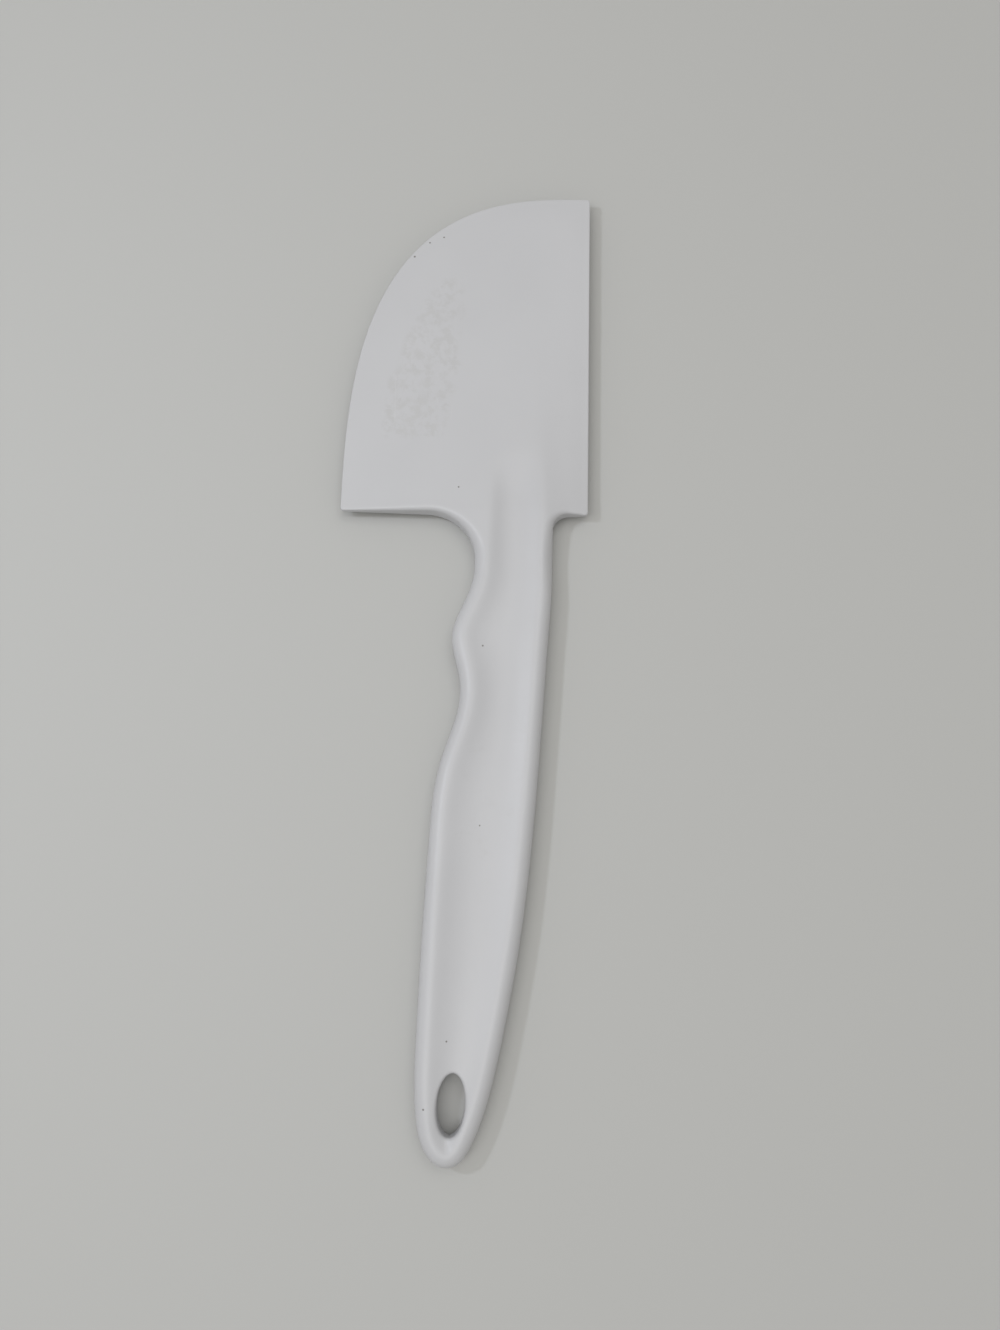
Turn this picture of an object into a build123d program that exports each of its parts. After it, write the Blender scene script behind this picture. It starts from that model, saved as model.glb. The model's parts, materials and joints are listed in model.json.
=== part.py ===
from build123d import *

import math
import os

# Flexible putty knife, moulded in one piece of soft white plastic. Millimetres.
# +X points to the straight scraping edge, +Y to the tip and +Z up. The origin is under the middle
# of the whole knife, on the surface that it lies on, and the moulding is alike on both faces.
# Its two regions are two parts: the handle, which is stiff and ends in the thick root of the blade,
# and the blade, which flexes and so turns about a line across that root.

# ---- Driving dimensions ----

grip_length = 158.2  # butt to shoulders
blade_length = 91.8  # shoulders to tip
blade_width = 64.2  # curved edge to straight edge
grip_thickness = 8.0
side_radius = 3.3  # rounding of the grip's sides, neck and shoulders, on both faces

# Blade
curve_exponent = 2.8  # of the superellipse that the curved edge follows: 2 would be an ellipse
shoulder_step = 9.1  # width of the shoulder between the grip and the straight edge
curved_neck_radius = 12.7
straight_neck_radius = 4.2
edge_thickness = 1.2
tip_thickness = 1.4  # on the ridge, where it reaches the tip
ridge_thickness = 8.3  # on the ridge at the shoulders, where the grip's faces cut it flat
ridge_inset = 9.6  # middle of the ridge, from the grip's straight side
ridge_root_width = 13.0
ridge_tip_width = 3.0
cheek_length = 14.0  # how far down the neck the blade's slopes reach

# Flexing line
root_length = 18.8  # shoulders to the flexing line
flex_clearance = 0.35  # between the blade's rounded root and its seat, so that it can turn

# Dish in each face
dish_depth = 1.8
curved_rim_width = 3.9  # curved side of the grip, and butt, to the edge of the dish
straight_rim_width = 3.2  # straight side of the grip to the edge of the dish
dish_end_gap = 3.0  # the dish's end to the flexing line
dish_end_radius = 6.0  # in the blade
dish_butt_radius = 3.9

# Hanging eye
eye_width = 7.0
eye_length = 14.4
eye_rise = 13.8  # butt to the middle of the eye
eye_inset = 21.8  # middle of the eye, from the grip's straight side at the neck
eye_lean = 3.0  # degrees, with the grip's lean

# Sides of the grip, measured inwards from its straight side at the neck: first the finger notches as
# (distance below the shoulders, curved side, straight side), then the swell as (share of the way from
# notches to butt, curved side, straight side), then the butt as (distance above it, and so on).
notch_stations = [
    (14.7, 19.9, 0.0),
    (24.0, 22.2, 0.2),
    (33.2, 25.1, 0.8),  # crest between the finger notches
    (41.0, 23.5, 1.25),
    (49.1, 22.7, 1.7),  # deepest point of the lower notch
    (64.3, 26.8, 2.6),
]
swell_stations = [
    (0.3, 29.1, 4.0),
    (0.72, 30.1, 7.1),
]
butt_stations = [
    (28.0, 30.5, 10.3),
    (12.3, 30.1, 14.0),
    (4.1, 28.0, 17.3),
    (1.3, 25.8, 19.3),
]
butt_inset = 22.5  # lowest point of the butt

# ---- Places that follow from them ----

butt_y = -(grip_length + blade_length) / 2
shoulder_y = butt_y + grip_length
tip_y = shoulder_y + blade_length
flex_y = shoulder_y + root_length
straight_x = blade_width / 2
curved_x = -blade_width / 2
grip_x = straight_x - shoulder_step
ridge_x = grip_x - ridge_inset
mid_z = grip_thickness / 2
eye_x = grip_x - eye_inset
eye_y = butt_y + eye_rise
overhang = 0.8  # how far cutters and blanks reach past the outline
cutter_height = grip_thickness  # how far cutters reach above the middle of the thickness
root_stations = [shoulder_y - cheek_length, shoulder_y]
root_stations += [shoulder_y + root_length * share for share in (0.33, 0.67, 1, 1.3)]
blade_stations = [flex_y + (tip_y - flex_y) * share for share in (0, 0.1, 0.2, 0.35, 0.5, 0.7, 1, 1.1)]

notches_y = shoulder_y - notch_stations[-1][0]
swell_length = notches_y - butt_y - butt_stations[0][0]
grip_sides = [(shoulder_y - drop, grip_x - a, grip_x - b) for drop, a, b in notch_stations]
grip_sides += [(notches_y - swell_length * share, grip_x - a, grip_x - b) for share, a, b in swell_stations]
grip_sides += [(butt_y + rise, grip_x - a, grip_x - b) for rise, a, b in butt_stations]


def curved_edge(angle):
    """Point of the curved edge: 0 degrees at the shoulder, 90 at the tip."""
    power = 2 / curve_exponent
    across = math.cos(math.radians(angle)) ** power
    along = math.sin(math.radians(angle)) ** power
    return straight_x - blade_width * across, shoulder_y + blade_length * along


def curved_edge_x(y):
    """Where the curved edge is, at y."""
    share = (y - shoulder_y) / blade_length
    return straight_x - blade_width * (1 - share**curve_exponent) ** (1 / curve_exponent)


def ridge(y):
    """(half width, half thickness) of the blade's ridge at y: it thins quickly, then slowly."""
    share = max(0.0, (y - shoulder_y) / blade_length)
    half_width = (ridge_root_width + (ridge_tip_width - ridge_root_width) * share) / 2
    half_thickness = (tip_thickness + (ridge_thickness - tip_thickness) * (1 - share) ** 2) / 2
    return half_width, half_thickness


def slopes(y, left, right, more=0.0):
    """Upper edge of the blade's section at y, from left to right, as (x, height above the middle)."""
    half_width, top = ridge(y)
    edge = edge_thickness / 2
    ridge_left = ridge_x - half_width
    ridge_right = ridge_x + half_width
    left_slope = (top - edge) / (ridge_left - curved_x)
    right_slope = (top - edge) / (straight_x - ridge_right)
    return [
        (left, edge + (left - curved_x) * left_slope + more),
        (ridge_left, top + more),
        (ridge_right, top + more),
        (right, edge + (straight_x - right) * right_slope + more),
    ]


def across(y):
    """Plane across the knife at y, whose own Y is height above the middle of the thickness."""
    return Plane(origin=(0, y, mid_z), x_dir=(1, 0, 0), z_dir=(0, -1, 0))


def dish_sections():
    """(y, left end, right end, depth) of the dish, from the butt to its end in the blade."""
    sections = []
    butt_centre = (grip_x - butt_inset, butt_y + curved_rim_width + dish_butt_radius)
    for angle, share in ((75, 0.35), (35, 0.75)):
        half = dish_butt_radius * math.cos(math.radians(angle))
        y = butt_centre[1] - dish_butt_radius * math.sin(math.radians(angle))
        sections.append((y, butt_centre[0] - half, butt_centre[0] + half, dish_depth * share))
    for y, left, right in reversed(grip_sides[:-2]):
        sections.append((y, left + curved_rim_width, right - straight_rim_width, dish_depth))
    end_centre_y = flex_y - dish_end_gap - dish_end_radius
    for angle, share in ((0, 0.8), (40, 0.5), (75, 0.2)):
        half = dish_end_radius * math.cos(math.radians(angle))
        y = end_centre_y + dish_end_radius * math.sin(math.radians(angle))
        sections.append((y, ridge_x - half, ridge_x + half, dish_depth * share))
    return sections


# ---- Outline of the whole knife ----

with BuildSketch() as outline:
    with BuildLine():
        curve = Spline(
            *[curved_edge(angle) for angle in range(0, 91, 10)],
            tangents=((0, 1), (1, 0)),
        )
        straight_edge = Line(curve @ 1, (straight_x, shoulder_y))
        straight_shoulder = Line(straight_edge @ 1, (grip_x, shoulder_y))
        straight_neck = Line(straight_shoulder @ 1, (grip_x, grip_sides[0][0]))
        grip_side = Spline(
            *[(right, y) for y, left, right in grip_sides],
            (grip_x - butt_inset, butt_y),
            *[(left, y) for y, left, right in reversed(grip_sides)],
            tangents=((0, -1), (0, 1)),
            tangent_scalars=(1, 1),
        )
        curved_neck = Line(grip_side @ 1, (grip_sides[0][1], shoulder_y))
        curved_shoulder = Line(curved_neck @ 1, curve @ 0)
    make_face()
    neck_corner = outline.vertices().sort_by_distance(curved_neck @ 1)[0]
    fillet(neck_corner, radius=curved_neck_radius)
    neck_corner = outline.vertices().sort_by_distance(straight_neck @ 0)[0]
    fillet(neck_corner, radius=straight_neck_radius)

# ---- Handle: the stiff region ----

with BuildPart() as handle:
    with BuildSketch():
        add(outline.sketch)
        with Locations((0, flex_y)):
            Rectangle(
                blade_width * 2,
                blade_length,
                align=(Align.CENTER, Align.MIN),
                mode=Mode.SUBTRACT,
            )
    extrude(amount=grip_thickness)
    rims = handle.edges().filter_by(lambda e: e.bounding_box().size.Z < 0.01)
    fillet(rims.filter_by(lambda e: e.center().Y < flex_y - 0.01), radius=side_radius)

    # The blade's slopes, cut from both faces
    for side in (1, -1):
        for y in root_stations:
            top = slopes(y, curved_x - overhang, straight_x + overhang)
            points = [*top, (straight_x + overhang, cutter_height), (curved_x - overhang, cutter_height)]
            with BuildSketch(across(y)):
                with BuildLine():
                    Polyline(*[(px, pz * side) for px, pz in points], close=True)
                make_face()
        loft(ruled=True, mode=Mode.SUBTRACT)

    # Dish in each face
    for side in (1, -1):
        for y, left, right, depth in dish_sections():
            crest = min(mid_z, ridge(y)[1])
            with BuildSketch(across(y)):
                with BuildLine():
                    bowl = ThreePointArc(
                        (left, crest * side),
                        ((left + right) / 2, (crest - depth) * side),
                        (right, crest * side),
                    )
                    lid = cutter_height * side
                    Polyline(bowl @ 1, (right, lid), (left, lid), bowl @ 0)
                make_face()
        loft(ruled=True, mode=Mode.SUBTRACT)

    # Hanging eye
    with BuildSketch(Plane.XY):
        with Locations((eye_x, eye_y)):
            Ellipse(eye_width / 2, eye_length / 2, rotation=-eye_lean)
    extrude(amount=grip_thickness, mode=Mode.SUBTRACT)

    # Seat for the blade's rounded root
    with BuildSketch(across(flex_y)):
        with BuildLine():
            seat = slopes(flex_y, curved_x - overhang, straight_x + overhang, more=flex_clearance)
            Polyline((seat[0][0], 0), *seat, (seat[-1][0], 0), close=True)
        make_face()
    revolve(axis=Axis((0, flex_y, mid_z), (1, 0, 0)), mode=Mode.SUBTRACT)

# ---- Blade: the flexible region ----

with BuildPart() as blade:
    for y in blade_stations:
        top = slopes(y, curved_x - overhang, straight_x + overhang)
        with BuildSketch(across(y)):
            with BuildLine():
                Polyline(*top, *[(px, -pz) for px, pz in reversed(top)], close=True)
            make_face()
    loft(ruled=True)
    with BuildSketch():
        add(outline.sketch)
    extrude(amount=grip_thickness, mode=Mode.INTERSECT)

    # Rounded root, which turns in the handle's seat
    with BuildSketch(across(flex_y)):
        with BuildLine():
            root = slopes(flex_y, curved_edge_x(flex_y), straight_x)
            Polyline((root[0][0], 0), *root, (root[-1][0], 0), close=True)
        make_face()
    revolve(axis=Axis((0, flex_y, mid_z), (1, 0, 0)), revolution_arc=180)

# ---- Files ----

os.makedirs("parts", exist_ok=True)
handle.part.label = "handle"
export_step(handle.part, "parts/handle.step")
blade.part.label = "blade"
export_step(blade.part, "parts/blade.step")
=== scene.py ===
import json
import math

import bpy
import numpy as np
from mathutils import Matrix, Vector
from mathutils.geometry import delaunay_2d_cdt

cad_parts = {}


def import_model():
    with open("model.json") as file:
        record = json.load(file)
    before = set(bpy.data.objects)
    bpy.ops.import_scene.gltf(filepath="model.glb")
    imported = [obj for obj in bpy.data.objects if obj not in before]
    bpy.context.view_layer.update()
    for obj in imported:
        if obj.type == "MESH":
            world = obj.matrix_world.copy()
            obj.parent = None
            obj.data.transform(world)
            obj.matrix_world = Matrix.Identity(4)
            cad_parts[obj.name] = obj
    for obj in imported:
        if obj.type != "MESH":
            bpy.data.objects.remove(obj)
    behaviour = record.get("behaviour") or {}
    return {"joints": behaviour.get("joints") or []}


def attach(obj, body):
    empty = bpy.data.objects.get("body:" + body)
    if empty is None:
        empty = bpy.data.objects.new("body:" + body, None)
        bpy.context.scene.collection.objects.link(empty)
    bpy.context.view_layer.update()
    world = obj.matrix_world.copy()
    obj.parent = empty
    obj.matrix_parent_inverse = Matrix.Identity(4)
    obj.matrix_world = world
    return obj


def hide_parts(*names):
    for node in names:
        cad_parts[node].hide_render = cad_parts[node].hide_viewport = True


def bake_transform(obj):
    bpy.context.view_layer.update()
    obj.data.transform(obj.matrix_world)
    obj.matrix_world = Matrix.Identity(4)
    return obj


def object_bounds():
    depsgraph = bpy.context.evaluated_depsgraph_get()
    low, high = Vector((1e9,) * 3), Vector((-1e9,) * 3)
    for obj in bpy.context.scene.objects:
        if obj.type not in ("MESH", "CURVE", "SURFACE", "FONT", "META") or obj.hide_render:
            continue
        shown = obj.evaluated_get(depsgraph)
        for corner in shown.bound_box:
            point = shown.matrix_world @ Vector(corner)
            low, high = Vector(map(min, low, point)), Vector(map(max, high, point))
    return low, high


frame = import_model()
cad_low, cad_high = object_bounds()

# One-piece plastic putty knife. Everything is in metres. The moulding is one smooth surface: its
# height is worked out from the outline, the rounded sides, the blade's slopes and the dish, then it
# is cut at the flexing line into the stiff handle and the blade that bends.

MM = 0.001

# ---- Sizes ----

flex = next(j for j in frame["joints"] if j["name"] == "blade_flex")
FLEX_Y = flex["pos_m"][1]
MID_Z = flex["pos_m"][2]

ROOT_LENGTH = 18.8 * MM  # shoulders to the flexing line
SHOULDER_STEP = 9.1 * MM  # width of the shoulder between the grip and the straight edge
CURVED_X, STRAIGHT_X = cad_low.x, cad_high.x
BUTT_Y, TIP_Y = cad_low.y, cad_high.y
SHOULDER_Y = FLEX_Y - ROOT_LENGTH
GRIP_X = STRAIGHT_X - SHOULDER_STEP  # the grip's straight side at the neck
GRIP_HALF = (cad_high.z - cad_low.z) / 2
BLADE_WIDTH = STRAIGHT_X - CURVED_X
BLADE_LENGTH = TIP_Y - SHOULDER_Y

CURVE_EXPONENT = 2.8  # of the superellipse that the curved edge follows
CURVED_NECK_RADIUS = 12.7 * MM
STRAIGHT_NECK_RADIUS = 4.2 * MM
CORNER_RADIUS = 0.9 * MM
SIDE_RADIUS = 3.4 * MM
EDGE_SHARE = 0.45  # of the local half thickness that is rounded off along the blade's edges
ROUNDING_RUN = 12.0 * MM  # shoulders to where the neck's sides are fully rounded

EDGE_HALF = 0.6 * MM
TIP_HALF = 0.7 * MM
RIDGE_HALF = 4.15 * MM
RIDGE_INSET = 9.6 * MM  # middle of the ridge, from the grip's straight side
RIDGE_X = GRIP_X - RIDGE_INSET
RIDGE_ROOT_WIDTH = 13.0 * MM
RIDGE_TIP_WIDTH = 3.0 * MM
BEVEL_WIDTH = 5.5 * MM  # thinned band along the scraping edges
BEVEL_DEPTH = 0.16 * MM
BEVEL_RUN = 9.0 * MM  # shoulders to where the band is at its full depth
SLOPE_BLEND = 0.12  # softening where the two slopes meet, as a share of their rise
RIDGE_BLEND = 0.16  # and where they meet the ridge
CHEEK_LENGTH = 14.0 * MM  # how far down the neck the blade's slopes reach
CHEEK_FADE = 9.0 * MM
GRIP_BLEND = 0.1 * MM  # softening where the slopes meet the grip's faces

DISH_DEPTH = 1.8 * MM
DISH_BUTT_DEPTH = 1.45 * MM
DISH_SHALLOW = 20.0 * MM  # above the butt, where the dish starts to get deeper
DISH_DEEPENING = 45.0 * MM  # over which it does
DISH_NECK_LOSS = 0.15  # share of its depth that it loses from the neck to its end
CURVED_RIM = 3.9 * MM  # curved side of the grip, and butt, to the crest of the rim
STRAIGHT_RIM = 3.15 * MM  # straight side of the grip to the crest of the rim
BUTT_BLEND = 16.0 * MM  # above the butt, where one rim width passes into the other
CREST_SOFTNESS = 0.6 * MM
DISH_END_RADIUS = 6.0 * MM
DISH_END_Y = SHOULDER_Y + 18.3 * MM
DISH_FADE = 16.0 * MM  # over which the dish comes out to nothing
DISH_LEAST_HALF = 3.4 * MM  # shortest run of the dish's wall, round the butt

EYE_INSET = 21.8 * MM  # middle of the eye, from the grip's straight side at the neck
EYE_RISE = 13.8 * MM  # butt to the middle of the eye
EYE = (GRIP_X - EYE_INSET, BUTT_Y + EYE_RISE)
EYE_WIDTH, EYE_LENGTH = 6.6 * MM, 14.0 * MM
EYE_LEAN = math.radians(3.0)
EYE_ROUNDING = 0.7 * MM

# Sides of the grip, measured inwards from its straight side at the neck: first the finger notches as
# (distance below the shoulders, curved side, straight side), then the swell as (share of the way from
# notches to butt, curved side, straight side), then the butt as (distance above it, and so on).
NOTCH_STATIONS = [
    (14.7, 19.9, 0.0),
    (24.0, 22.2, 0.2),
    (33.2, 25.1, 0.8),
    (41.0, 23.5, 1.25),
    (49.1, 22.7, 1.7),
    (64.3, 26.8, 2.6),
]
SWELL_STATIONS = [
    (0.3, 29.1, 4.0),
    (0.72, 30.1, 7.1),
]
BUTT_STATIONS = [
    (28.0, 30.5, 10.3),
    (12.3, 30.1, 14.0),
    (4.1, 28.0, 17.3),
    (1.3, 25.8, 19.3),
]
BUTT_INSET = 22.5 * MM
BUTT_X = GRIP_X - BUTT_INSET

# Scuffs: a band inside the curved edge, whose borders are shares of the way out to that edge
SCUFF_INNER, SCUFF_INNER_FADE = 0.5, 0.14
SCUFF_OUTER, SCUFF_OUTER_FADE = 0.9, 0.07
SCUFF_ROOT_GAP, SCUFF_ROOT_FADE = 17 * MM, 5 * MM  # from the shoulders
SCUFF_TIP_GAP, SCUFF_TIP_FADE = 7 * MM, 8 * MM
SCUFF_MOST_X, SCUFF_X_FADE = 3 * MM, 10 * MM

# and a patch in the dish, rubbed by the palm
PALM_Y, PALM_REACH = BUTT_Y + 84 * MM, 28 * MM
PALM_SHARE = 0.45
PALM_PEAK, PALM_FALL = 1.4, 1.2  # level in its middle, and how much less at its reach
PALM_RIM_FADE = 2.5 * MM

# Mesh
STEP = 0.9 * MM  # along the outline
CORNER_POINTS = 7
STRAIGHT_NECK_POINTS = 12
CURVED_NECK_POINTS = 26
DISH_END_POINTS = 24
RINGS = [d * MM for d in (0.03, 0.1, 0.2, 0.34, 0.55, 0.85, 1.3, 1.85, 2.45, 3.05, 3.6, 4.1)]
EYE_RINGS = [d * MM for d in (0.03, 0.1, 0.2, 0.34, 0.52, 0.72, 1.1, 1.6)]
RING_SHARE = 0.985  # of its distance that each point of a ring keeps from every edge
LATTICE = 0.85 * MM
LINE_GAP = 0.4 * STEP  # between the rings and the flexing line
REPEAT = 0.02 * MM  # points of a loop that are closer than this are one
MERGE = 1e-7  # and so are points of the plan
LEAST_AREA = 1e-14  # twice the area of the smallest triangle kept
ON_EDGE = 1e-9


# ---- Curves ----


def smoothstep(x):
    x = np.clip(x, 0, 1)
    return x * x * (3 - 2 * x)


def spline(points, first, last, step):
    """Points every step or so along a smooth curve through points, with the given end directions."""
    p = np.array(points, float)
    h = np.linalg.norm(np.diff(p, axis=0), axis=1)
    n = len(p)
    a = np.zeros((n, n))
    b = np.zeros((n, 2))
    a[0, 0] = a[-1, -1] = 1
    b[0], b[-1] = first, last
    for i in range(1, n - 1):
        a[i, i - 1] = 1 / h[i - 1]
        a[i, i] = 2 * (1 / h[i - 1] + 1 / h[i])
        a[i, i + 1] = 1 / h[i]
        b[i] = 3 * ((p[i] - p[i - 1]) / h[i - 1] ** 2 + (p[i + 1] - p[i]) / h[i] ** 2)
    slope = np.linalg.solve(a, b)
    made = []
    for i in range(n - 1):
        t = np.linspace(0, 1, max(2, math.ceil(h[i] / step)) + 1)[:-1, None]
        made.append(
            (2 * t**3 - 3 * t**2 + 1) * p[i]
            + (t**3 - 2 * t**2 + t) * h[i] * slope[i]
            + (3 * t**2 - 2 * t**3) * p[i + 1]
            + (t**3 - t**2) * h[i] * slope[i + 1]
        )
    return np.vstack([*made, p[-1:]])


def arc(centre, radius, start, end, count):
    """Points of an arc, angles in degrees."""
    angle = np.radians(np.linspace(start, end, count))
    return np.array(centre) + radius * np.column_stack([np.cos(angle), np.sin(angle)])


def line(a, b, step):
    count = max(1, math.ceil(math.dist(a, b) / step))
    return np.linspace(a, b, count + 1)


def joined(*runs):
    """One closed loop of points, without repeats."""
    points = np.vstack(runs)
    gap = np.linalg.norm(points - np.roll(points, 1, axis=0), axis=1)
    return points[gap > REPEAT]


def curved_edge_x(y):
    """Where the curved edge is, at y."""
    share = np.clip((y - SHOULDER_Y) / BLADE_LENGTH, 0, 1)
    return STRAIGHT_X - BLADE_WIDTH * (1 - share**CURVE_EXPONENT) ** (1 / CURVE_EXPONENT)


def curved_edge(step):
    """The curved edge from the shoulder's corner to the tip's, with a point on the flexing line."""
    angle = np.radians(np.linspace(0, 90, 2000))
    power = 2 / CURVE_EXPONENT
    x = STRAIGHT_X - BLADE_WIDTH * np.cos(angle) ** power
    y = SHOULDER_Y + BLADE_LENGTH * np.sin(angle) ** power
    length = np.concatenate([[0], np.cumsum(np.hypot(np.diff(x), np.diff(y)))])
    lowest = np.interp(SHOULDER_Y + CORNER_RADIUS, y, length)
    flexing = np.interp(FLEX_Y, y, length)
    highest = np.interp(STRAIGHT_X - CORNER_RADIUS, x, length)
    at = np.concatenate(
        [
            np.linspace(lowest, flexing, round((flexing - lowest) / step)),
            np.linspace(flexing, highest, round((highest - flexing) / step))[1:],
        ]
    )
    return np.column_stack([np.interp(at, length, x), np.interp(at, length, y)])


notches_y = SHOULDER_Y - NOTCH_STATIONS[-1][0] * MM
swell_length = notches_y - BUTT_Y - BUTT_STATIONS[0][0] * MM
stations = [(SHOULDER_Y - drop * MM, a, b) for drop, a, b in NOTCH_STATIONS]
stations += [(notches_y - swell_length * share, a, b) for share, a, b in SWELL_STATIONS]
stations += [(BUTT_Y + rise * MM, a, b) for rise, a, b in BUTT_STATIONS]
grip_sides = [(y, GRIP_X - a * MM, GRIP_X - b * MM) for y, a, b in stations]
NECK_Y, NECK_X, _ = grip_sides[0]  # top of the grip's curved side
grip_points = [(right, y) for y, left, right in grip_sides]
grip_points += [(BUTT_X, BUTT_Y)]
grip_points += [(left, y) for y, left, right in reversed(grip_sides)]
grip_side = spline(grip_points, (0, -1), (0, 1), STEP)

R = CORNER_RADIUS
outline = joined(
    arc((CURVED_X + R, SHOULDER_Y + R), R, 270, 180, CORNER_POINTS),
    curved_edge(STEP),
    arc((STRAIGHT_X - R, TIP_Y - R), R, 90, 0, CORNER_POINTS),
    line((STRAIGHT_X, TIP_Y - R), (STRAIGHT_X, FLEX_Y), STEP),
    line((STRAIGHT_X, FLEX_Y), (STRAIGHT_X, SHOULDER_Y + R), STEP),
    arc((STRAIGHT_X - R, SHOULDER_Y + R), R, 0, -90, CORNER_POINTS),
    line(
        (STRAIGHT_X - R, SHOULDER_Y),
        (GRIP_X + STRAIGHT_NECK_RADIUS, SHOULDER_Y),
        STEP,
    ),
    arc(
        (GRIP_X + STRAIGHT_NECK_RADIUS, SHOULDER_Y - STRAIGHT_NECK_RADIUS),
        STRAIGHT_NECK_RADIUS,
        90,
        180,
        STRAIGHT_NECK_POINTS,
    ),
    line((GRIP_X, SHOULDER_Y - STRAIGHT_NECK_RADIUS), (GRIP_X, NECK_Y), STEP),
    grip_side,
    line((NECK_X, NECK_Y), (NECK_X, SHOULDER_Y - CURVED_NECK_RADIUS), STEP),
    arc(
        (NECK_X - CURVED_NECK_RADIUS, SHOULDER_Y - CURVED_NECK_RADIUS),
        CURVED_NECK_RADIUS,
        0,
        90,
        CURVED_NECK_POINTS,
    ),
    line((NECK_X - CURVED_NECK_RADIUS, SHOULDER_Y), (CURVED_X + R, SHOULDER_Y), STEP),
)


def rim_crest(side):
    """Crest of the grip's rim: the grip's side, moved inwards by the rim's width."""
    along = np.gradient(side, axis=0)
    along /= np.linalg.norm(along, axis=1)[:, None]
    lowest = np.argmin(side[:, 1])
    leaning = 0.5 * (1 - smoothstep((side[:, 1] - BUTT_Y) / BUTT_BLEND))
    share = np.where(np.arange(len(side)) < lowest, leaning, 1 - leaning)
    rim = STRAIGHT_RIM + (CURVED_RIM - STRAIGHT_RIM) * share
    return side + np.column_stack([along[:, 1], -along[:, 0]]) * rim[:, None]


# The dish follows the grip's sides, and ends in the blade in a half circle.
crest = rim_crest(grip_side)
dish_top = (RIDGE_X, DISH_END_Y - DISH_END_RADIUS)
dish_edge = joined(
    crest,
    line(crest[-1], (dish_top[0] - DISH_END_RADIUS, dish_top[1]), STEP),
    arc(dish_top, DISH_END_RADIUS, 180, 0, DISH_END_POINTS),
    line((dish_top[0] + DISH_END_RADIUS, dish_top[1]), crest[0], STEP),
)


def ellipse(grow, count=64):
    """The eye's outline, or one around it."""
    angle = np.linspace(0, 2 * math.pi, count, endpoint=False)
    across = (EYE_WIDTH / 2 + grow) * np.cos(angle)
    along = (EYE_LENGTH / 2 + grow) * np.sin(angle)
    c, s = math.cos(EYE_LEAN), math.sin(EYE_LEAN)
    return np.column_stack([EYE[0] + c * across + s * along, EYE[1] - s * across + c * along])


eye = ellipse(0)


def distance(points, loop):
    """How far each point is from a closed loop, positive inside it."""
    a = loop
    b = np.roll(loop, -1, axis=0)
    d = b - a
    square = (d**2).sum(1)
    out = np.empty(len(points))
    for at in range(0, len(points), 2000):
        p = points[at : at + 2000, None, :]
        t = np.clip(((p - a) * d).sum(2) / square, 0, 1)
        near = np.linalg.norm(p - (a + t[..., None] * d), axis=2).min(1)
        y = p[..., 1]
        crosses = (a[:, 1] > y) != (b[:, 1] > y)
        rise = np.where(d[:, 1] == 0, 1, d[:, 1])
        x = a[:, 0] + (y - a[:, 1]) / rise * d[:, 0]
        inside = (crosses & (p[..., 0] < x)).sum(1) % 2 == 1
        out[at : at + 2000] = np.where(inside, near, -near)
    return out


# ---- Height of the surface above the middle of the thickness ----


def smooth_min(a, b, k):
    h = np.clip(0.5 + 0.5 * (b - a) / k, 0, 1)
    return b * (1 - h) + a * h - k * h * (1 - h)


def slopes(x, y):
    """Half thickness of the blade: a ridge in line with the grip, thinning to both sides and to the tip."""
    share = np.clip((y - SHOULDER_Y) / BLADE_LENGTH, 0, 1)
    half_width = (RIDGE_ROOT_WIDTH + (RIDGE_TIP_WIDTH - RIDGE_ROOT_WIDTH) * share) / 2
    top = TIP_HALF + (RIDGE_HALF - TIP_HALF) * (1 - share) ** 2
    left = (x - CURVED_X) / (RIDGE_X - half_width - CURVED_X)
    right = (STRAIGHT_X - x) / (STRAIGHT_X - RIDGE_X - half_width)
    rise = smooth_min(smooth_min(left, right, SLOPE_BLEND), np.ones_like(x), RIDGE_BLEND)
    return EDGE_HALF + (top - EDGE_HALF) * rise


def dish(points):
    """Depth of the dish."""
    x, y = points.T
    inside = distance(points, dish_edge)
    inside = CREST_SOFTNESS * np.logaddexp(0, inside / CREST_SOFTNESS)
    rims = (CURVED_RIM + STRAIGHT_RIM) / 2
    sides = np.array(sorted(grip_sides))
    half = np.interp(y, sides[:, 0], (sides[:, 2] - sides[:, 1]) / 2 - rims)
    up = smoothstep((y - NECK_Y) / (dish_top[1] - NECK_Y))
    half = np.maximum(half + (DISH_END_RADIUS - half) * up, DISH_LEAST_HALF)
    deeper = smoothstep((y - BUTT_Y - DISH_SHALLOW) / DISH_DEEPENING)
    depth = DISH_BUTT_DEPTH + (DISH_DEPTH - DISH_BUTT_DEPTH) * deeper
    depth = depth * (1 - DISH_NECK_LOSS * up) * smoothstep((DISH_END_Y - y) / DISH_FADE)
    return depth * (1 - (1 - np.clip(inside / half, 0, 1)) ** 2)


def rounded_off(core, radius, side):
    """Height near a side whose edge is rounded: side is the distance from it."""
    drop = radius - np.sqrt(np.maximum(radius**2 - (radius - np.clip(side, 0, radius)) ** 2, 0))
    return core - drop


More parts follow.
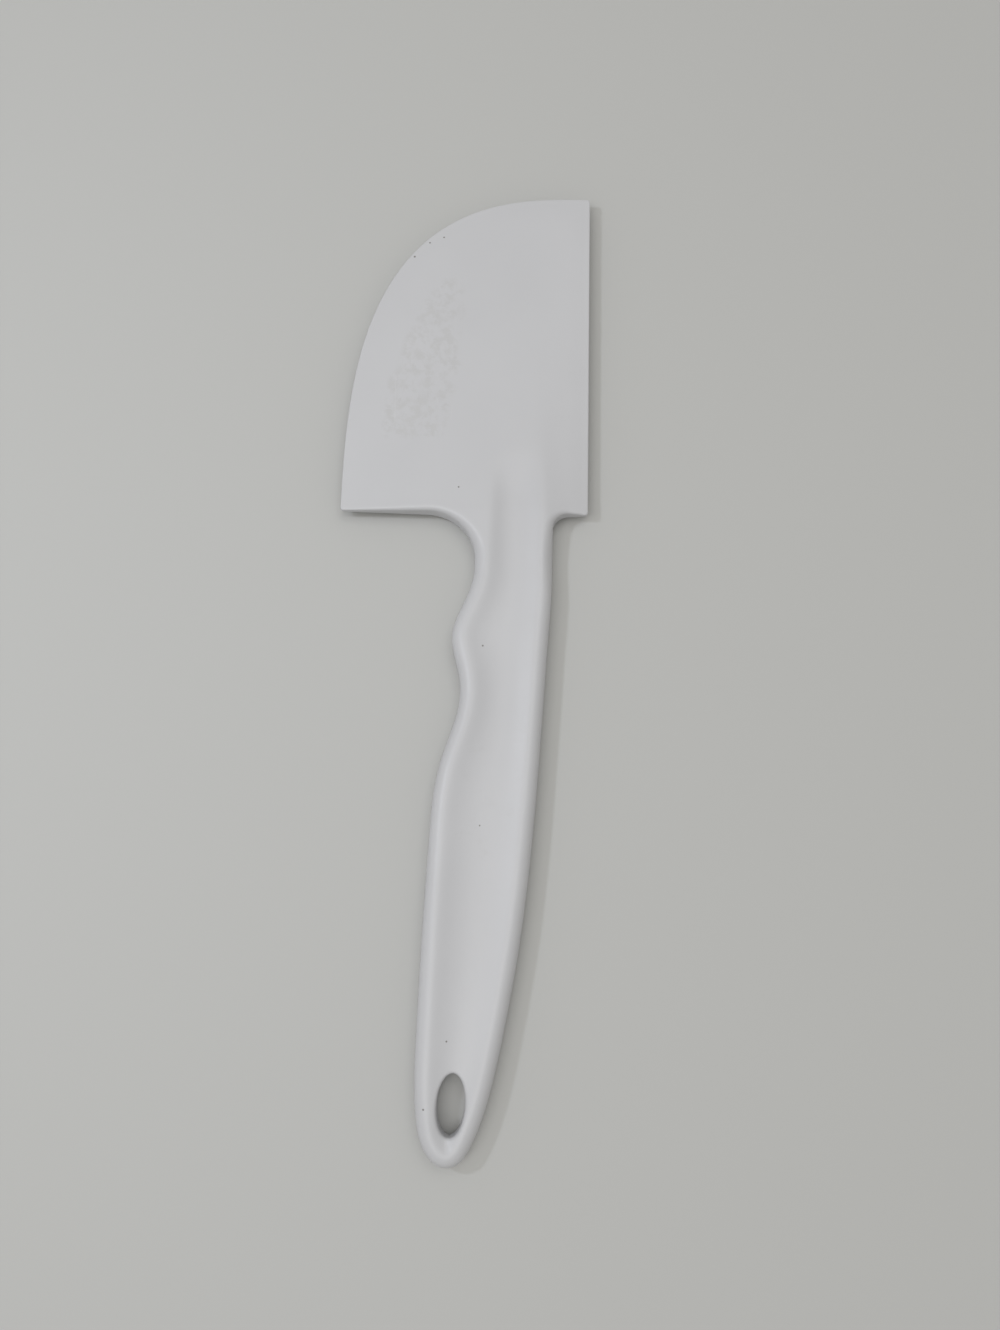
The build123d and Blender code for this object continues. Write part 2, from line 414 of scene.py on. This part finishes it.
def half_thickness(points):
    x, y = points.T
    side = distance(points, outline)
    side[np.abs(side) < ON_EDGE] = 0
    blade = slopes(x, y)
    blade = blade + (GRIP_HALF - blade) * smoothstep((SHOULDER_Y - CHEEK_LENGTH - y) / CHEEK_FADE)
    core = smooth_min(blade, np.full_like(x, GRIP_HALF), GRIP_BLEND)
    radius = core * EDGE_SHARE
    radius = radius + (SIDE_RADIUS - radius) * smoothstep((SHOULDER_Y - y) / ROUNDING_RUN)
    bevel = BEVEL_DEPTH * (1 - smoothstep(side / BEVEL_WIDTH)) * smoothstep((y - SHOULDER_Y) / BEVEL_RUN)
    height = rounded_off(core, radius, side) - bevel - dish(points)
    eye_side = -distance(points, eye)
    eye_side[np.abs(eye_side) < ON_EDGE] = 0
    return rounded_off(height, EYE_ROUNDING, eye_side)


def wear(points):
    """How scuffed the moulding is: most in a band inside the curved edge, a little in the dish."""
    x, y = points.T
    across = np.clip((STRAIGHT_X - x) / BLADE_WIDTH, 0, 2)
    along = np.clip((y - SHOULDER_Y) / BLADE_LENGTH, 0, 2)
    level = (across**CURVE_EXPONENT + along**CURVE_EXPONENT) ** (1 / CURVE_EXPONENT)
    band = smoothstep((level - SCUFF_INNER) / SCUFF_INNER_FADE)
    band *= smoothstep((SCUFF_OUTER - level) / SCUFF_OUTER_FADE)
    band *= smoothstep((y - SHOULDER_Y - SCUFF_ROOT_GAP) / SCUFF_ROOT_FADE)
    band *= smoothstep((TIP_Y - SCUFF_TIP_GAP - y) / SCUFF_TIP_FADE)
    band *= smoothstep((SCUFF_MOST_X - x) / SCUFF_X_FADE)
    palm = PALM_SHARE * smoothstep(PALM_PEAK - PALM_FALL * np.abs(y - PALM_Y) / PALM_REACH)
    palm *= smoothstep(distance(points, dish_edge) / PALM_RIM_FADE)
    return np.maximum(band, palm)


# ---- Mesh ----


def inward(loop):
    """Direction into the moulding at each point of the clockwise outline."""
    along = np.roll(loop, -1, axis=0) - np.roll(loop, 1, axis=0)
    along /= np.linalg.norm(along, axis=1)[:, None]
    return np.column_stack([along[:, 1], -along[:, 0]])


def surface_points():
    """Points of the plan: outline, eye, flexing line, rings inside the edges, and a lattice."""
    into = inward(outline)
    rings = []
    for d in RINGS:
        ring = outline + into * d
        keep = distance(ring, outline) > RING_SHARE * d
        keep &= np.abs(ring[:, 1] - FLEX_Y) > LINE_GAP
        rings.append(ring[keep])
    eye_rings = [ellipse(d) for d in EYE_RINGS]

    left = curved_edge_x(FLEX_Y)
    near = np.array([0, *RINGS])
    middle = np.arange(RINGS[-1] + LATTICE, STRAIGHT_X - left - RINGS[-1], LATTICE)
    across = np.concatenate([left + near, left + middle, STRAIGHT_X - near[::-1]])
    flexing = np.column_stack([across, np.full(len(across), FLEX_Y)])

    rows = np.arange(BUTT_Y, TIP_Y, LATTICE * math.sqrt(3) / 2)
    columns = np.arange(CURVED_X, STRAIGHT_X, LATTICE)
    lattice = np.vstack(
        [
            np.column_stack([columns + (i % 2) * LATTICE / 2, np.full(len(columns), y)])
            for i, y in enumerate(rows)
        ]
    )
    keep = distance(lattice, outline) > RINGS[-1] + 0.5 * LATTICE
    keep &= distance(lattice, ellipse(EYE_RINGS[-1] + 0.5 * LATTICE)) < 0
    keep &= np.abs(lattice[:, 1] - FLEX_Y) > 0.5 * LATTICE
    return flexing, [*rings, *eye_rings, lattice[keep]]


def loop_edges(start, count):
    return [(start + i, start + (i + 1) % count) for i in range(count)]


def plan():
    """The plan as points and triangles, with the outline, the eye and the flexing line kept as edges."""
    flexing, inner = surface_points()
    fixed = np.vstack([outline, eye, flexing[1:-1]])
    ends = [int(np.argmin(np.linalg.norm(outline - flexing[i], axis=1))) for i in (0, -1)]
    first_flexing = len(outline) + len(eye)
    edges = loop_edges(0, len(outline)) + loop_edges(len(outline), len(eye))
    chain = [ends[0], *range(first_flexing, len(fixed)), ends[1]]
    edges += list(zip(chain[:-1], chain[1:]))
    points = np.vstack([fixed, *inner])
    made = delaunay_2d_cdt([Vector(p) for p in points], edges, [], 0, MERGE)
    points = np.array([tuple(p) for p in made[0]])
    triangles = np.array([tuple(f) for f in made[2]])
    centre = points[triangles].mean(1)
    keep = (distance(centre, outline) > 0) & (distance(centre, eye) < 0)
    corner = points[triangles]
    a, b = corner[:, 1] - corner[:, 0], corner[:, 2] - corner[:, 0]
    keep &= np.abs(a[:, 0] * b[:, 1] - a[:, 1] * b[:, 0]) > LEAST_AREA
    return points, triangles[keep]


def moulding():
    """The whole moulding as one closed surface: (vertices, faces)."""
    points, triangles = plan()
    corner = points[triangles]
    a, b = corner[:, 1] - corner[:, 0], corner[:, 2] - corner[:, 0]
    clockwise = a[:, 0] * b[:, 1] - a[:, 1] * b[:, 0] < 0
    triangles[clockwise] = triangles[clockwise][:, ::-1]
    height = half_thickness(points)
    count = len(points)
    upper = np.column_stack([points, MID_Z + height])
    lower = np.column_stack([points, MID_Z - height])
    faces = [tuple(t) for t in triangles]
    faces += [tuple(int(i) + count for i in reversed(t)) for t in triangles]
    used = {}
    for t in triangles:
        for i in range(3):
            used[(int(t[i]), int(t[(i + 1) % 3]))] = True
    for i, j in used:
        if (j, i) not in used:  # an edge of the outline or of the eye
            faces.append((j, i, i + count, j + count))
    return np.vstack([upper, lower]), faces


def vertex_normals(vertices, faces):
    """Smooth normals of the whole moulding, so that its two regions shade as one."""
    mesh = bpy.data.meshes.new("whole")
    mesh.from_pydata([tuple(v) for v in vertices], [], faces)
    mesh.update()
    normals = np.zeros(len(vertices) * 3)
    mesh.vertex_normals.foreach_get("vector", normals)
    bpy.data.meshes.remove(mesh)
    return normals.reshape(-1, 3)


def region(name, vertices, faces, normals, beyond, material):
    """The part of the moulding before or beyond the flexing line, closed by a flat cap on it."""
    mine = [f for f in faces if (np.mean([vertices[i][1] for i in f]) > FLEX_Y) == beyond]
    rim = {}
    for f in mine:
        for i, j in zip(f, f[1:] + f[:1]):
            rim[(int(i), int(j))] = True
    rim = [(i, j) for i, j in rim if (j, i) not in rim]
    half = len(vertices) // 2
    cap = [(j, i, i + half, j + half) for i, j in rim if i < half and j < half]
    numbers = sorted({int(i) for f in mine for i in f})
    new = {old: at for at, old in enumerate(numbers)}
    mesh = bpy.data.meshes.new(name)
    mesh.from_pydata(
        [tuple(vertices[i]) for i in numbers],
        [],
        [tuple(new[int(i)] for i in f) for f in mine + cap],
    )
    mesh.update()
    mesh.shade_smooth()
    towards = (0, -1, 0) if beyond else (0, 1, 0)
    loops = [tuple(normals[i]) for f in mine for i in f] + [towards for f in cap for i in f]
    mesh.normals_split_custom_set(loops)
    rest = np.array([vertices[i] for i in numbers])
    place = mesh.attributes.new("rest", "FLOAT_VECTOR", "POINT")
    place.data.foreach_set("vector", rest.ravel())
    worn = mesh.attributes.new("wear", "FLOAT", "POINT")
    worn.data.foreach_set("value", wear(rest[:, :2]))
    mesh.materials.append(material)
    piece = bpy.data.objects.new(name, mesh)
    bpy.context.scene.collection.objects.link(piece)
    return piece


# ---- Materials ----

PLASTIC = (0.545, 0.545, 0.56, 1)
PLASTIC_CLOUD = (0.53, 0.53, 0.545, 1)
PLASTIC_WORN = (0.487, 0.483, 0.485, 1)
PLASTIC_SCRATCH = (0.6, 0.6, 0.61, 1)
DIRT = (0.1, 0.085, 0.07, 1)
FLOOR = (0.488, 0.488, 0.476, 1)
FLOOR_ROUGHNESS = 0.7
GRIME_SHARE, SCRATCH_SHARE, SPECK_SHARE = 0.6, 0.35, 0.8  # how far each hides the plastic's colour
ROUGHNESS, ROUGHNESS_SPREAD = 0.41, 0.03
SCUFF_DULLNESS = 0.1  # added to the roughness where it is scuffed
SCRATCHES = [(24.0, 0.04), (-38.0, 0.02), (71.0, 0.02)]  # (direction in degrees, how many)
# Specks of dirt: (place in millimetres along X and Y, radius in millimetres)
SPECKS = [
    ((-15.6, 106.4), 0.36),
    ((-11.6, 110.7), 0.3),
    ((-7.8, 112.4), 0.3),
    ((-1.5, 39.3), 0.3),
    ((-0.2, -97.1), 0.28),
    ((-5.0, -112.0), 0.3),
    ((5.8, -2.5), 0.3),
    ((6.2, -47.1), 0.25),
]


def new_material(name):
    material = bpy.data.materials.new(name)
    material.use_nodes = True
    return material, next(n for n in material.node_tree.nodes if n.type == "BSDF_PRINCIPLED")


class Graph:
    """Short ways to add the nodes of one material."""

    def __init__(self, name):
        self.material, self.shader = new_material(name)
        self.nodes = self.material.node_tree.nodes
        self.links = self.material.node_tree.links

    def put(self, socket, value):
        if isinstance(value, bpy.types.NodeSocket):
            self.links.new(value, socket)
        else:
            socket.default_value = value

    def attribute(self, name, output):
        node = self.nodes.new("ShaderNodeAttribute")
        node.attribute_name = name
        return node.outputs[output]

    def maths(self, operation, a, b=0.0, clamp=False):
        node = self.nodes.new("ShaderNodeMath")
        node.operation = operation
        node.use_clamp = clamp
        self.put(node.inputs[0], a)
        self.put(node.inputs[1], b)
        return node.outputs[0]

    def most(self, values):
        """The largest of several values."""
        largest = values[0]
        for value in values[1:]:
            largest = self.maths("MAXIMUM", largest, value)
        return largest

    def vector(self, operation, a, b):
        node = self.nodes.new("ShaderNodeVectorMath")
        node.operation = operation
        self.put(node.inputs[0], a)
        self.put(node.inputs[1], b)
        return node.outputs["Value" if operation == "DISTANCE" else "Vector"]

    def ranged(self, value, low, high, new_low=0.0, new_high=1.0):
        node = self.nodes.new("ShaderNodeMapRange")
        node.interpolation_type = "SMOOTHSTEP"
        for name, number in (
            ("Value", value),
            ("From Min", low),
            ("From Max", high),
            ("To Min", new_low),
            ("To Max", new_high),
        ):
            self.put(node.inputs[name], number)
        return node.outputs["Result"]

    def noise(self, place, scale, detail=3.0, roughness=0.5, distortion=0.0):
        node = self.nodes.new("ShaderNodeTexNoise")
        self.put(node.inputs["Vector"], place)
        node.inputs["Scale"].default_value = scale
        node.inputs["Detail"].default_value = detail
        node.inputs["Roughness"].default_value = roughness
        node.inputs["Distortion"].default_value = distortion
        return node.outputs["Fac"]

    def turned(self, place, angle, stretch):
        """The place turned about Z, then scaled along each axis."""
        node = self.nodes.new("ShaderNodeMapping")
        node.vector_type = "POINT"
        self.put(node.inputs["Vector"], place)
        node.inputs["Rotation"].default_value = (0, 0, math.radians(angle))
        node.inputs["Scale"].default_value = stretch
        return node.outputs["Vector"]

    def mixed(self, share, a, b):
        node = self.nodes.new("ShaderNodeMix")
        node.data_type = "RGBA"
        self.put(node.inputs["Factor"], share)
        self.put(node.inputs[6], a)
        self.put(node.inputs[7], b)
        return node.outputs[2]

    def bump(self, height, distance, strength, normal=None):
        node = self.nodes.new("ShaderNodeBump")
        self.put(node.inputs["Height"], height)
        node.inputs["Distance"].default_value = distance
        node.inputs["Strength"].default_value = strength
        if normal is not None:
            self.put(node.inputs["Normal"], normal)
        return node.outputs["Normal"]

    def scratches(self, place, angle, amount):
        """Sparse thin lines that run along one direction."""
        fine = self.noise(self.turned(place, angle, (1.0, 0.03, 1.0)), 2600.0, 1.0)
        broken = self.noise(self.turned(place, angle, (1.0, 0.3, 1.0)), 300.0, 2.0)
        lines = self.ranged(fine, 0.66, 0.74)
        return self.maths("MULTIPLY", lines, self.ranged(broken, 0.62 - amount, 0.7 - amount))

    def spot(self, place, at, radius):
        """A small round speck at a place on the knife, in millimetres along X and Y."""
        centre = (at[0] * MM, at[1] * MM, 0)
        flat = self.vector("MULTIPLY", place, (1, 1, 0))
        away = self.vector("DISTANCE", flat, centre)
        return self.ranged(away, radius * MM * 0.5, radius * MM, 1.0, 0.0)


def white_plastic():
    """Soft white plastic: satin, faintly uneven, scuffed inside the curved edge, with a few specks."""
    g = Graph("white_plastic")
    place = g.attribute("rest", "Vector")
    wear_here = g.attribute("wear", "Fac")

    # Where it is scuffed: patches with ragged borders, and fine scratches in three directions
    ragged = g.noise(place, 130.0, 5.0, 0.65, 0.6)
    patches = g.ranged(g.maths("ADD", g.maths("MULTIPLY", wear_here, 0.62), ragged), 0.78, 1.12)
    grime = g.maths("MULTIPLY", patches, g.ranged(g.noise(place, 420.0, 4.0, 0.7), 0.42, 0.62))
    lines = g.most([g.scratches(place, angle, amount) for angle, amount in SCRATCHES])
    lines = g.maths("MULTIPLY", lines, g.ranged(wear_here, 0.0, 0.7, 0.15, 1.0))

    # Colour
    cloud = g.noise(place, 28.0, 3.0, 0.55)
    colour = g.mixed(g.ranged(cloud, 0.3, 0.7), PLASTIC, PLASTIC_CLOUD)
    colour = g.mixed(g.maths("MULTIPLY", grime, GRIME_SHARE), colour, PLASTIC_WORN)
    colour = g.mixed(g.maths("MULTIPLY", lines, SCRATCH_SHARE), colour, PLASTIC_SCRATCH)
    specks = g.most([g.spot(place, at, radius) for at, radius in SPECKS])
    colour = g.mixed(g.maths("MULTIPLY", specks, SPECK_SHARE), colour, DIRT)
    g.put(g.shader.inputs["Base Color"], colour)

    # Sheen of the surface: duller where it is scuffed
    duller = g.maths("MULTIPLY", patches, SCUFF_DULLNESS)
    least, most = ROUGHNESS - ROUGHNESS_SPREAD, ROUGHNESS + ROUGHNESS_SPREAD
    fine = g.ranged(g.noise(place, 900.0, 2.0), 0.3, 0.7, least, most)
    g.put(g.shader.inputs["Roughness"], g.maths("ADD", fine, duller))

    # Relief: moulding waves, orange peel, scuffs and scratches
    relief = g.bump(g.noise(place, 60.0, 2.0), 0.12 * MM, 0.35)
    relief = g.bump(g.noise(place, 1500.0, 2.0), 0.006 * MM, 0.5, relief)
    rubbed = g.maths("MULTIPLY", patches, g.noise(place, 520.0, 4.0, 0.6))
    relief = g.bump(rubbed, 0.03 * MM, 0.6, relief)
    relief = g.bump(g.maths("SUBTRACT", 1.0, lines), 0.012 * MM, 0.7, relief)
    g.put(g.shader.inputs["Normal"], relief)
    return g.material


def floor_material():
    material, shader = new_material("floor")
    shader.inputs["Base Color"].default_value = FLOOR
    shader.inputs["Roughness"].default_value = FLOOR_ROUGHNESS
    return material


# ---- Object ----

vertices, faces = moulding()
normals = vertex_normals(vertices, faces)
plastic = white_plastic()

handle = region("handle_moulding", vertices, faces, normals, False, plastic)
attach(handle, "handle")
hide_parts("handle")

blade = region("blade_moulding", vertices, faces, normals, True, plastic)
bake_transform(blade)
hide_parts("blade")

# ---- Floor, lights and camera ----

FLOOR_HALF = 3.0
WORLD_STRENGTH, WORLD_COLOUR = 0.45, (1.0, 0.99, 0.955)
WARM, COOL, NEUTRAL = (1.0, 0.995, 0.98), (0.86, 0.91, 1.0), (1.0, 1.0, 1.0)
# Lamps: (name, place, size, level, colour)
LAMPS = [
    ("overhead_left", (-0.30, -0.30, 1.4), 1.0, 0.22, WARM),
    ("overhead_right", (0.26, 0.36, 1.4), 1.0, 0.15, WARM),
    ("side", (-0.7, -0.4, 1.1), 0.5, 0.04, NEUTRAL),
    ("key", (-0.31, 0.05, 0.41), 0.04, 0.15, COOL),
]
CAMERA_PLACE = (0.01153, -0.06477, 0.2770)
CAMERA_TILT, CAMERA_YAW = math.radians(12.0), math.radians(1.3)
LENS, SENSOR = 30, 36

def floor():
    h = FLOOR_HALF
    mesh = bpy.data.meshes.new("floor")
    corners = [(-h, -h, 0), (h, -h, 0), (h, h, 0), (-h, h, 0)]
    mesh.from_pydata(corners, [], [(0, 1, 2, 3)])
    mesh.materials.append(floor_material())
    piece = bpy.data.objects.new("floor", mesh)
    bpy.context.scene.collection.objects.link(piece)


def area_light(name, location, size, level, colour):
    """A round lamp aimed at the knife: level 1 lights a white floor to white by itself."""
    away = Vector(location)
    data = bpy.data.lights.new(name, "AREA")
    data.shape = "DISK"
    data.size = size
    data.energy = level * math.pi**2 * away.length**3 / away.z
    data.color = colour
    light = bpy.data.objects.new(name, data)
    bpy.context.scene.collection.objects.link(light)
    light.location = location
    light.rotation_euler = (-away).to_track_quat("-Z", "Y").to_euler()


def world(strength, colour):
    made = bpy.data.worlds.new("studio")
    made.use_nodes = True
    background = made.node_tree.nodes["Background"]
    background.inputs["Color"].default_value = (*colour, 1)
    background.inputs["Strength"].default_value = strength
    bpy.context.scene.world = made


def camera():
    """Above the grip, tilted a little up the knife."""
    ahead = Vector((-math.sin(CAMERA_YAW), math.cos(CAMERA_YAW), 0))
    look = ahead * math.sin(CAMERA_TILT) - Vector((0, 0, math.cos(CAMERA_TILT)))
    right = Vector((math.cos(CAMERA_YAW), math.sin(CAMERA_YAW), 0))
    up = right.cross(look)
    data = bpy.data.cameras.new("camera")
    data.lens = LENS
    data.sensor_width = SENSOR
    data.clip_start = 0.01
    made = bpy.data.objects.new("camera", data)
    bpy.context.scene.collection.objects.link(made)
    turn = Matrix((right, up, -look)).transposed().to_4x4()
    made.matrix_world = Matrix.Translation(CAMERA_PLACE) @ turn
    bpy.context.scene.camera = made


floor()
world(WORLD_STRENGTH, WORLD_COLOUR)
for lamp in LAMPS:
    area_light(*lamp)
camera()

bpy.context.scene.view_settings.view_transform = "Standard"
